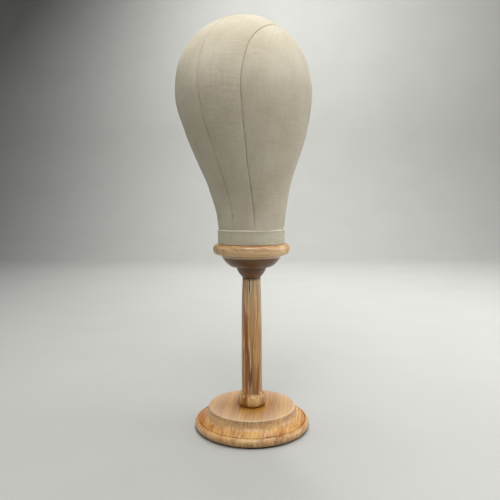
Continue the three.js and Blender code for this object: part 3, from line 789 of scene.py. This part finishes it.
class BLOCKHEAD_OT_stuffing(bpy.types.Operator):
    """Pack the stuffing inside the canvas"""

    bl_idname = "block_head.stuffing"
    bl_label = "Pack stuffing"

    def execute(self, context):
        lowest = low("stuffing")
        inset = 2.4 * MM
        sides = 96
        around = np.arange(sides)
        beside = (around + 1) % sides
        theta = 2 * np.pi / sides * around
        rise, theta = np.meshgrid(np.linspace(0, 1.999, 90), theta, indexing="ij")
        outer = head_form(theta, rise, inset, lowest)
        grain = 0.4 * MM * lumpiness(outer * 9)[..., None]
        outer = outer - outer * [1, 1, 0] * grain / NECK_RADIUS
        hole = high("neck_plug") + GAP
        socket = about_face(SPIGOT_RADIUS + GAP, theta[:2], [[hole], [lowest]])
        points = np.concatenate([socket, outer])
        rows = len(points)
        last = (rows - 1) * sides
        pole = np.full(sides, rows * sides)
        points = np.vstack([points.reshape(-1, 3), [0, 0, hole],
                            head_form(np.array(0.0), np.array(2.0), inset, lowest)])
        faces = [
            grid_faces(rows, sides, wrap_columns=True),
            np.stack([pole, beside, around], -1),
            np.stack([pole + 1, last + around, last + beside], -1),
        ]
        piece = add_mesh("packed_stuffing", points, faces, 50)
        settle(piece, "head", "stuffing_chips", packed_chips(), "stuffing")
        return {"FINISHED"}


class BLOCKHEAD_OT_tape(bpy.types.Operator):
    """Wind the tape round the neck"""

    bl_idname = "block_head.tape"
    bl_label = "Wind neck tape"

    def execute(self, context):
        canvas = context.scene.block_head_canvas
        bottom, top = low("neck_band"), BAND_TOP
        inside = NECK_RADIUS + 0.35 * MM
        lap_length, free_end = 14 * MM, math.radians(21.5)
        lap = lap_length / inside
        turn = np.linspace(0, 2 * np.pi + lap, 260)[None, :]
        up = np.linspace(0, 1, 15)[:, None]
        lapped = smooth((turn - 2 * np.pi + 0.06) / 0.12) * (CLOTH_THICKNESS + 0.15 * MM)
        tired = (0.30 * np.sin(3 * turn + 0.6) + 0.22 * np.sin(7 * turn + 2)
                 + 0.12 * np.sin(17 * turn)) * MM
        curl = 0.3 * MM * up ** 5 * (1.6 + np.sin(5 * turn + 1))
        rolled = 0.5 * MM * bell(up, 0.97, 0.06)
        # The free end is pressed thin over its last 2 mm.
        pressed = smooth(((2 * np.pi + lap - turn) * inside + 0.2 * MM) / (2 * MM))
        radius = inside + lapped + curl
        height = bottom + (top - bottom) * up + tired * up ** 2 - lapped * 0.6 * up
        theta = turn - free_end
        thickness = (CLOTH_THICKNESS + rolled) * (0.1 + 0.9 * pressed)
        outer = about_face(radius + thickness, theta, height)
        inner = about_face(radius, theta, height)
        flat = np.stack(np.broadcast_arrays(theta * inside, height - bottom), -1)
        piece = closed_sheet("neck_tape", outer, inner, flat)
        material = woven_cotton("cotton_tape", canvas.tape, linear("#A8A188"), 0.9 * MM,
                                highlight_edge=top - bottom)
        settle(piece, "head", "band_tape", material, "neck_band")
        return {"FINISHED"}


# ------------------------------------------------------------------ neck, peg and hardware

def washer_profile(inner, outer, bottom, top):
    """A flat ring's outline."""
    return np.array([[inner, bottom], [outer, bottom], [outer, top], [inner, top]])


class BLOCKHEAD_OT_neck(bpy.types.Operator):
    """Turn the neck plug and fit its tube, hem and tacks"""

    bl_idname = "block_head.neck"
    bl_label = "Make neck"

    def execute(self, context):
        canvas = context.scene.block_head_canvas
        bottom, top = low("neck_plug"), high("neck_plug")
        radius = reach("neck_plug") - 0.05 * MM
        shoulder = low("stuffing") - GAP
        bore = reach("socket_tube") + GAP
        roof = high("socket_tube") + GAP
        profile = outline(
            [0, roof], [bore, roof], [bore, bottom], [radius, bottom], [radius, shoulder],
            [SPIGOT_RADIUS, shoulder], [SPIGOT_RADIUS, top], [0, top],
        )
        plug = turned("turned_neck_plug", softened(profile, 0.6 * MM), 96)
        settle(plug, "head", "plug_wood", bare_wood("bare_lime", "#D9BE94", "#B08F62"),
               "neck_plug")
        wall = washer_profile(reach("socket_tube") - 1.2 * MM, reach("socket_tube"),
                              low("socket_tube"), high("socket_tube"))
        tube = turned("plug_tube", softened(wall, 0.3 * MM), 64)
        settle(tube, "head", "steel", metal("drawn_steel", "#B4B4B2", 0.28), "socket_tube")
        self.fold_hem(canvas)
        self.drive_tacks()
        return {"FINISHED"}

    def fold_hem(self, canvas):
        """The canvas turned in under the plug: a ring, gathered into small pleats."""
        bottom, top = low("neck_hem"), high("neck_hem")
        outer_radius = reach("neck_hem")
        theta = np.linspace(0, 2 * np.pi, 241)[None, :]
        inwards = np.linspace(0, 1, 13)[:, None]
        radius = outer_radius - HEM_WIDTH * inwards
        frayed = 0.5 * MM * inwards ** 8 * np.sin(37 * theta)
        pleat = 0.22 * MM * (1 + np.sin(24 * theta)) * np.sin(np.pi * inwards)
        underside = bottom + pleat
        lower = about_face(radius + frayed, theta, underside)
        upper = about_face(radius + frayed, theta,
                           np.maximum(underside + 0.6 * MM, top - 0.1 * MM))
        flat = np.stack(np.broadcast_arrays(theta * 33 * MM, radius), -1)
        piece = closed_sheet("turned_in_canvas", lower, upper, flat)
        material = woven_cotton("raw_canvas_edge", canvas.cloth, canvas.cloth_shade,
                                canvas.thread_spacing, seams=False)
        settle(piece, "head", "canvas", material, "neck_hem")

    def drive_tacks(self):
        """Cut tacks, heads down, each with a domed head and a tapering shank."""
        material = metal("blued_tack_steel", "#6E6C6A", 0.4)
        for number, node in enumerate(NECK_TACKS, 1):
            corner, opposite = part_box(node)
            centre = (corner + opposite) / 2
            head = (opposite.x - corner.x) / 2
            base = corner.z
            profile = outline(
                arc(0, base + 1 * MM, head, 1 * MM, -90, -4, 8),
                [head * 0.98, base + 1 * MM], [0.9 * MM, base + 1 * MM],
                [0.75 * MM, opposite.z - 4 * MM], [0, opposite.z],
            )
            piece = turned(f"tack_{number}", profile, 32, centre=(centre.x, centre.y))
            settle(piece, "head", "steel", material, node)


class BLOCKHEAD_OT_peg(bpy.types.Operator):
    """Turn the peg that carries the head"""

    bl_idname = "block_head.peg"
    bl_label = "Turn peg"

    def execute(self, context):
        bottom, top = low("swivel_peg"), high("swivel_peg")
        radius = reach("swivel_peg")
        shoulder = PLATE_TOP + GAP
        profile = outline(
            [0, bottom], [JOURNAL_RADIUS, bottom], [JOURNAL_RADIUS, shoulder],
            [radius, shoulder], [radius, top - 6 * MM],
            arc(radius - 5 * MM, top - 6 * MM, 5 * MM, 6 * MM, 6, 90, 10),
            [0, top],
        )
        peg = turned("turned_peg", softened(profile, 0.7 * MM), 96)
        settle(peg, "peg", "peg_wood", bare_wood("waxed_beech", "#CFA877", "#A97E4E"),
               "swivel_peg")
        return {"FINISHED"}


def slotted(bottom, sign, radius, width, depth):
    """Moves the flat end of a screw's head in by depth along a straight slot."""
    def change(points):
        inside = girth_of(points) < 0.97 * radius
        at_end = np.abs(points[..., 2] - bottom) < 0.05 * MM
        in_slot = 1 - smooth((np.abs(points[..., 1]) - width / 2) / (0.12 * MM) + 0.5)
        points[..., 2] += sign * depth * in_slot * (inside & at_end)
        return points
    return change


class BLOCKHEAD_OT_hardware(bpy.types.Operator):
    """Make the stand's screws, washer and felt"""

    bl_idname = "block_head.hardware"
    bl_label = "Make hardware"

    def execute(self, context):
        brass = metal("turned_brass", "#C2A05A", 0.3)
        zinc = metal("zinc_plated_steel", "#A9ABAC", 0.34)
        for number, node in enumerate(PLATE_SCREWS, 1):
            corner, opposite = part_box(node)
            centre = (corner + opposite) / 2
            head = (opposite.y - corner.y) / 2
            top = opposite.z
            face = np.stack([np.linspace(head, 0, 14), np.full(14, top)], -1)
            profile = outline(
                [0, corner.z], [2 * MM, corner.z + 4 * MM], [2 * MM, top - 2 * MM], face,
            )
            piece = turned(f"countersunk_screw_{number}", profile, 96,
                           slotted(top, -1, head, 1.1 * MM, 1 * MM), (centre.x, centre.y), 30)
            settle(piece, "stand", "brass", brass, node)
        self.column_screw(zinc)
        radius = reach("base_felt")
        disc = washer_profile(0, radius, low("base_felt"), high("base_felt"))
        felt = turned("felt_disc", softened(disc, 0.4 * MM), 192)
        settle(felt, "stand", "felt", pressed_felt(), "base_felt")
        return {"FINISHED"}

    def column_screw(self, material):
        """The long screw, head down, and its washer."""
        corner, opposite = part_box("column_screw")
        radius = opposite.x
        bottom, tip = corner.z, opposite.z
        head_top = bottom + 4 * MM
        face = np.stack([np.linspace(0, radius - 1 * MM, 14), np.full(14, bottom)], -1)
        shank, root, turns = 2.95 * MM, 2.3 * MM, 34
        start, end = head_top + 12 * MM, tip - 5 * MM
        steps = np.arange(2 * turns + 1)
        thread = np.stack([np.where(steps % 2, shank, root),
                           start + (end - start) * steps / (2 * turns)], -1)
        profile = outline(
            face, [radius, bottom + 1.2 * MM], [radius, head_top], [shank, head_top],
            [shank, start - 0.5 * MM], thread, [0, tip],
        )
        piece = turned("long_column_screw", profile, 96,
                       slotted(bottom, 1, radius, 1.6 * MM, 1.4 * MM), sharp_angle=30)
        settle(piece, "stand", "steel", material, "column_screw")
        bottom, top = low("column_washer"), high("column_washer")
        ring = washer_profile(SCREW_HOLE, reach("column_washer"), bottom, top)
        washer = turned("flat_washer", softened(ring, 0.25 * MM), 96)
        settle(washer, "stand", "steel", material, "column_washer")


# ------------------------------------------------------------------ turned stand

def turn_for_stand(name, node, profile, rounding, sides, material, marks, change=None):
    """Turns one piece of the stand from its outline and its corners' rounding, both in
    millimetres. marks holds the formula of each attribute that its varnish reads."""
    piece = turned(name, softened(profile * MM, rounding * MM), sides, change, sharp_angle=50)
    for attribute, formula in marks.items():
        mark(piece, attribute, formula)
    settle(piece, "stand", "stand_wood", material, node)


def level_grain(degrees):
    """The turn that lays a level trunk along local Z. The trunk points away from the viewer and
    that far to the right."""
    return (math.radians(90), VIEW_AZIMUTH - math.radians(degrees), 0)


class BLOCKHEAD_OT_base(bpy.types.Operator):
    """Turn the base"""

    bl_idname = "block_head.base"
    bl_label = "Turn base"

    def execute(self, context):
        stand = context.scene.block_head_stand
        bottom, top, rim = measures("base")
        bead = 5.5
        bead_centre, bead_level = rim - bead, bottom + bead
        bead_top = bead_level + bead
        step = 57.0
        gap = GAP / MM
        ceiling = high("base_felt") / MM + gap
        recess = reach("base_felt") / MM + gap
        counterbore, web_low, web_high, hole = 11.0, 9.0, 14.0, SCREW_HOLE / MM
        socket = COLUMN_TENON / MM + gap
        collar = reach("column") / MM
        profile = outline(
            [hole, web_low], [counterbore, web_low], [counterbore, ceiling],
            [recess, ceiling], [recess, bottom],
            arc(bead_centre, bead_level, bead, bead, -90, 76, 26),
            [bead_centre + 0.9, bead_top - 1.9], [bead_centre + 0.3, bead_top - 1.9],
            [bead_centre, bead_top + 0.2],
            [bead_centre - 3.5, bead_top + 2.0], [step + 5.9, bead_top + 3.9],
            arc(step + 5.5, top - 1.5, 5.5, top - 5.5 - bead_top, 268, 180, 16),
            [step, top - 0.9], [step - 0.9, top], [collar + 1, top], [socket, top],
            [socket, web_high], [hole, web_high],
        )
        material = varnished_pine("varnished_pine_board", level_grain(7), (0.11, 0.02, 0.0), 3.0,
                                  "#EAD8B6", 0.75, 0.4, 0.6)
        # The board's nearer end comes to the surface right of the middle of the rim.
        turn_for_stand("turned_base", "base", profile, 0.5, stand.sides, material, {
            "ends": lambda points: (girth_of(points) > 66 * MM) * bell(
                bearing_of(points), VIEW_AZIMUTH + math.radians(21), math.radians(19)),
            # Paler on the rim, a painted highlight; in the cove, painted light where shade falls;
            # and along the tier's edge.
            "painted_light_and_pale_edges": lambda points: 0.18 * bell(girth_of(points), rim * MM, 3 * MM)
            + 0.2 * bell(girth_of(points), (step + 1) * MM, 4 * MM)
            + 0.4 * bell(away_from(points, step, top), 0, 1.6 * MM),
            # The level top is darkened: partly aged varnish, partly painted shade against the
            # overhead light.
            "aged_and_shaded": lambda points: smooth((points[..., 2] - (top - 1) * MM) / (1 * MM)),
        })
        return {"FINISHED"}


class BLOCKHEAD_OT_column(bpy.types.Operator):
    """Turn the column"""

    bl_idname = "block_head.column"
    bl_label = "Turn column"

    def execute(self, context):
        stand = context.scene.block_head_stand
        bottom, top, collar = measures("column")
        foot = (high("base") + GAP) / MM
        shoulder = (low("capital") - GAP) / MM
        tenon, top_tenon, hole = COLUMN_TENON / MM, CAPITAL_TENON / MM, SCREW_HOLE / MM
        roof = high("column_screw") / MM + 0.6
        collar_top = foot + 16
        cove_top = collar_top + 5
        radius, neck = 13.5, 11.8
        share = np.linspace(0, 1, 40)
        shaft = np.stack([radius - (radius - neck) * (0.25 * share ** 1.5 + 0.75 * share ** 5),
                          cove_top + (shoulder - cove_top) * share], -1)
        profile = outline(
            [0, roof], [hole, roof], [hole, bottom], [tenon, bottom], [tenon, foot],
            [collar - 3.2, foot],
            arc(collar - 4, foot + 6.4, 4, 6.4, -75, 0, 8),
            arc(collar - 4, foot + 6.4, 4, 9.6, 8, 66, 10),
            [collar - 2.5, collar_top - 0.2],
            arc(radius + 2.2, cove_top, 2.2, cove_top - collar_top, 268, 180, 10),
            shaft, [top_tenon, shoulder], [top_tenon, top], [0, top],
        )
        # The pith runs behind the column and leans, so the rings meet the front in long Vs.
        lean = math.radians(2.5)
        behind = 48 * MM
        material = varnished_pine(
            "varnished_pine_spindle",
            (lean * math.cos(VIEW_AZIMUTH), lean * math.sin(VIEW_AZIMUTH), 0),
            (behind * math.sin(VIEW_AZIMUTH), -behind * math.cos(VIEW_AZIMUTH), 0), 7.7,
            "#E9D9C2", 1.0, 0.9,
        )
        # A line of painted shade lies at the joint under the capital, and below it the column is
        # painted paler, painted light where the capital shades it.
        turn_for_stand("turned_column", "column", profile, 0.4, 2 * stand.sides, material, {
            "crack_shade_and_glint": lambda points: self.drying_check(points)
            + 0.7 * bell(points[..., 2], low("capital") - GAP, 0.9 * MM),
            # Painted light: paler towards the top, where the capital shades the column.
            "painted_light_and_pale_edges": lambda points: 0.4 * smooth(
                1 - (low("capital") - points[..., 2]) / (75 * MM)),
        }, self.split)
        return {"FINISHED"}

    def drying_check(self, points):
        """A short crack down from the column's top, from 1 in its bed to below 0 on its raised
        right
        lip: a narrow bell curve less a second one beside it, which fade over 20 mm. The varnish
        paints shade in the bed and a highlight on the lip."""
        top = low("capital") - GAP
        side = VIEW_AZIMUTH - math.radians(12)
        radius = girth_of(points)
        away = (bearing_of(points) - side) * radius / (0.6 * MM)
        down = np.clip((top - points[..., 2]) / (20 * MM), 0, 1)
        on_shaft = (radius > 11 * MM) & (points[..., 2] < top + 0.01 * MM)
        return (bell(away, 0, 1) - 0.5 * bell(away, 2.6, 1.1)) * (1 - down ** 3) * on_shaft

    def split(self, points):
        """Sinks the crack into the shaft."""
        depth = 1.5 * MM * self.drying_check(points)
        points[..., :2] *= (1 - depth / np.maximum(girth_of(points), 1e-6))[..., None]
        return points


class BLOCKHEAD_OT_capital(bpy.types.Operator):
    """Turn the capital"""

    bl_idname = "block_head.capital"
    bl_label = "Turn capital"

    def execute(self, context):
        stand = context.scene.block_head_stand
        bottom, top, widest = measures("capital")
        socket, roof = (CAPITAL_TENON + GAP) / MM, (high("column") + GAP) / MM
        journal, floor = (JOURNAL_RADIUS + GAP) / MM, (low("swivel_peg") - GAP) / MM
        cup_top = bottom + 13.5
        fillet = top - 2.6
        profile = outline(
            [0, roof], [socket, roof], [socket, bottom], [12, bottom],
            bowed([12.4, bottom + 1], [20, cup_top], 1, 14), [20.2, cup_top + 0.6],
            [25.2, cup_top + 0.6],
            bowed([26.5, cup_top + 1], [widest - 0.7, fillet - 0.2], 1.5, 18),
            [widest - 0.9, fillet + 0.1], [widest, fillet + 0.3], [widest, top - 0.3],
            [widest - 0.4, top], [journal, top], [journal, floor], [0, floor],
        )
        # Painted shade: the capital's tint #87693C is far darker than the other pieces' and stands
        # in for the shade under the plate.
        material = varnished_pine("varnished_pine_block_painted_shade", level_grain(75), (0.03, -0.23, 0.05),
                                  5.2, "#87693C", 0.7, 0.4)
        # Painted highlight: the thin rim above the hollow is painted pale where the light catches
        # it.
        turn_for_stand("turned_capital", "capital", profile, 0.45, stand.sides, material, {
            "painted_light_and_pale_edges": lambda points: 0.8 * (girth_of(points) > 30 * MM) * smooth(
                (points[..., 2] - (fillet - 0.9) * MM) / (0.8 * MM)),
        })
        return {"FINISHED"}


class BLOCKHEAD_OT_plate(bpy.types.Operator):
    """Turn the head plate"""

    bl_idname = "block_head.plate"
    bl_label = "Turn head plate"

    def execute(self, context):
        stand = context.scene.block_head_stand
        bottom, top, rim = measures("head_plate")
        middle = (bottom + top) / 2
        journal = (JOURNAL_RADIUS + GAP) / MM
        profile = outline(
            [journal, bottom], [rim - 6.5, bottom],
            arc(rim - 5.5, middle - 1.2, 5.4, middle - 1.2 - bottom, -80, -8, 12),
            arc(rim - 5.5, middle + 1.6, 5.5, top - middle - 1.6, 8, 84, 12),
            np.stack([np.linspace(rim - 6.5, journal, 90), np.full(90, top)], -1),
        )
        material = varnished_pine("varnished_pine_disc", level_grain(80), (0.03, -0.09, 0.03), 1.4,
                                  "#F6EACB", 1.0, 0.6)
        turn_for_stand("turned_plate", "head_plate", profile, 0.4, 2 * stand.sides, material, {
            # Paler on the rim, a painted highlight, and along the rim's lower edge.
            "painted_light_and_pale_edges": lambda points: 0.3 * bell(girth_of(points), rim * MM, 2 * MM)
            + 0.5 * bell(away_from(points, rim - 1.5, bottom), 0, 1.5 * MM),
        }, self.countersinks)
        return {"FINISHED"}

    def countersinks(self, points):
        """Sinks a dimple for each screw head: 1.2 mm deep inside the head's radius, and back at
        the face 0.7 mm outside it."""
        for node in PLATE_SCREWS:
            corner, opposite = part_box(node)
            centre, head = (corner + opposite) / 2, (opposite.x - corner.x) / 2
            away = np.hypot(points[..., 0] - centre.x, points[..., 1] - centre.y)
            on_top = points[..., 2] > PLATE_TOP - 1 * MM
            points[..., 2] -= 1.2 * MM * smooth((head + 0.7 * MM - away) / (0.7 * MM)) * on_top
        return points


# ------------------------------------------------------------------ stage

class BLOCKHEAD_OT_stage(bpy.types.Operator):
    """Lay the floor and backdrop, hang the lights and place the camera"""

    bl_idname = "block_head.stage"
    bl_label = "Set stage"

    def execute(self, context):
        stage = context.scene.block_head_stage
        self.sweep(stage)
        for name, place, target, size, share in (
            ("overhead", (0.1, 0.0, 1.7), (0, 0, 0.3), 1.2, 1.0),
            ("over_front", (0.0, -1.0, 1.5), (0, 0, 0.3), 1.0, 0.95),
            ("right_side", (1.4, 0.1, 0.7), (0, 0, 0.3), 1.0, 0.58),
            ("left_side", (-1.4, 0.1, 0.8), (0, 0, 0.3), 1.0, 0.21),
            ("wall_wash", (0.0, 1.3, 2.0), (0, 2.9, 0.7), 1.6, 4.2),
        ):
            self.light(name, place, target, size, share * stage.light_power)
        world = bpy.data.worlds.new("studio_air")
        world.use_nodes = True
        background = world.node_tree.nodes["Background"]
        background.inputs[0].default_value = linear("#DCDDE0")
        background.inputs[1].default_value = 0.02
        context.scene.world = world
        context.scene.view_settings.view_transform = "Standard"
        self.camera(context, stage)
        return {"FINISHED"}

    def sweep(self, stage):
        """A floor that curves up into a backdrop behind the object."""
        back = 2.2
        bend = np.radians(np.linspace(0, 90, 24))
        run = np.concatenate([[-3.0, 0.0], back + 0.8 * np.sin(bend), [back + 0.8]])
        rise = np.concatenate([[0.0, 0.0], 0.8 - 0.8 * np.cos(bend), [3.6]])
        side = np.array([3.5, -3.5])[None, :]
        away = np.array([-math.sin(VIEW_AZIMUTH), math.cos(VIEW_AZIMUTH)])
        beside = np.array([math.cos(VIEW_AZIMUTH), math.sin(VIEW_AZIMUTH)])
        run, rise = run[:, None], rise[:, None]
        points = np.stack([run * away[0] + side * beside[0], run * away[1] + side * beside[1],
                           rise + 0 * side], -1)
        piece = add_mesh("sweep", points.reshape(-1, 3),
                         [grid_faces(len(run), 2)[:, ::-1]], 80)
        material, add, place = start_material("matt_paper", {"Roughness": 0.9})
        fibres = add("TexNoise", {"Vector": place, "Scale": 6.0, "Detail": 3.0})
        cloudy = add("ValToRGB", {0: fibres}, stops={0.3: 0.96, 0.7: 1.0})
        finish_material(material, stage.floor, [(1.0, cloudy, "MULTIPLY")])
        piece.data.materials.append(material)

    def light(self, name, place, target, size, power):
        """A square soft light aimed at a point. place is seen from the viewer: right, towards
        the object, up."""
        lamp = bpy.data.lights.new(name, "AREA")
        lamp.size = size
        lamp.energy = power
        holder = bpy.data.objects.new(name, lamp)
        bpy.context.scene.collection.objects.link(holder)
        turn = Matrix.Rotation(VIEW_AZIMUTH, 4, "Z")
        holder.location = turn @ Vector(place)
        aim = Vector(target) - holder.location
        holder.rotation_euler = aim.to_track_quat("-Z", "Y").to_euler()

    def camera(self, context, stage):
        """A camera at standing-table height that looks slightly down, with a small shift."""
        pitch, roll = math.radians(2.122), math.radians(-0.216)
        aside = -1.7 * MM
        data = bpy.data.cameras.new("viewer")
        data.sensor_width = 36
        data.lens = 38.24
        data.shift_y = -0.046
        camera = bpy.data.objects.new("viewer", data)
        context.scene.collection.objects.link(camera)
        place = Vector((aside, -stage.camera_distance, stage.camera_height))
        turn = Matrix.Rotation(VIEW_AZIMUTH, 4, "Z")
        look = (Matrix.Rotation(math.radians(90) - pitch, 4, "X")
                @ Matrix.Rotation(roll, 4, "Z"))
        camera.matrix_world = turn @ Matrix.Translation(place) @ look
        context.scene.camera = camera


# ------------------------------------------------------------------ panel and registration

PROPERTY_GROUPS = {
    "block_head_canvas": BlockHeadCanvas,
    "block_head_stand": BlockHeadStand,
    "block_head_stage": BlockHeadStage,
}
OPERATORS = (
    BLOCKHEAD_OT_base,
    BLOCKHEAD_OT_column,
    BLOCKHEAD_OT_capital,
    BLOCKHEAD_OT_plate,
    BLOCKHEAD_OT_hardware,
    BLOCKHEAD_OT_peg,
    BLOCKHEAD_OT_neck,
    BLOCKHEAD_OT_stuffing,
    BLOCKHEAD_OT_canvas,
    BLOCKHEAD_OT_tape,
    BLOCKHEAD_OT_stage,
)


class BLOCKHEAD_PT_panel(bpy.types.Panel):
    """Lists the settings and the steps in the order they are made."""

    bl_label = "Block head"
    bl_idname = "BLOCKHEAD_PT_panel"
    bl_space_type = "VIEW_3D"
    bl_region_type = "UI"
    bl_category = "Block head"

    def draw(self, context):
        for name, group in PROPERTY_GROUPS.items():
            box = self.layout.box()
            box.label(text=group.__doc__)
            for key in group.__annotations__:
                box.prop(getattr(context.scene, name), key)
        for operator in OPERATORS:
            self.layout.operator(operator.bl_idname)


def register():
    for name, group in PROPERTY_GROUPS.items():
        bpy.utils.register_class(group)
        setattr(bpy.types.Scene, name, PointerProperty(type=group))
    for cls in (*OPERATORS, BLOCKHEAD_PT_panel):
        bpy.utils.register_class(cls)


def unregister():
    for cls in (BLOCKHEAD_PT_panel, *reversed(OPERATORS)):
        bpy.utils.unregister_class(cls)
    for name, group in PROPERTY_GROUPS.items():
        delattr(bpy.types.Scene, name)
        bpy.utils.unregister_class(group)


def main():
    register()
    for operator in OPERATORS:
        family, step = operator.bl_idname.split(".")
        getattr(getattr(bpy.ops, family), step)()


if __name__ == "__main__":
    main()
